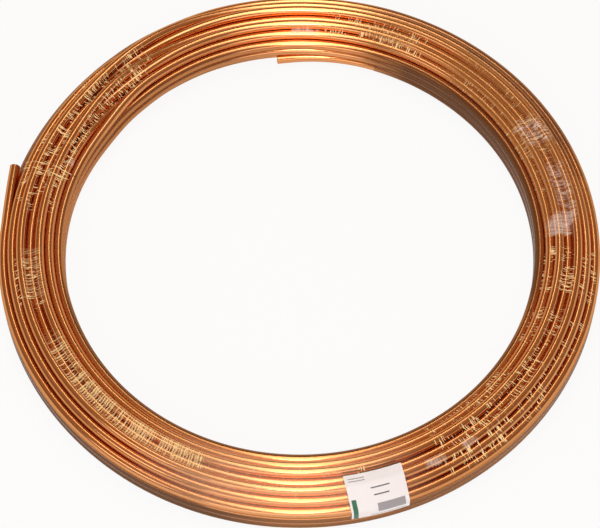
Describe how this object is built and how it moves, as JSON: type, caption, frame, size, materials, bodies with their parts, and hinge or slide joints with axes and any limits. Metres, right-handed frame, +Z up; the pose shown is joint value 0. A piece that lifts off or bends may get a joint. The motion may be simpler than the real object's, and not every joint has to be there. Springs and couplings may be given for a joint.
{
  "type": "copper tube coil",
  "caption": "Coil of soft bare copper tube, wound in nested layers around an open eye with both tube ends free, wrapped in clear stretch film with a plain paper label.",
  "frame": {"origin": "on the coil's axis, at the underside it lies on", "axes": "+Z up along the coil's axis, -Y towards the label's side, +X to the right of someone who faces that side"},
  "size_m": [0.6932, 0.6932, 0.0547],
  "materials": {
    "copper": "bright drawn copper",
    "film": "clear stretch film",
    "label": "matt coated paper"
  },
  "bodies": {
    "root": {"copper_tube": "copper", "stretch_film": "film", "paper_label": "label"}
  },
  "joints": []
}
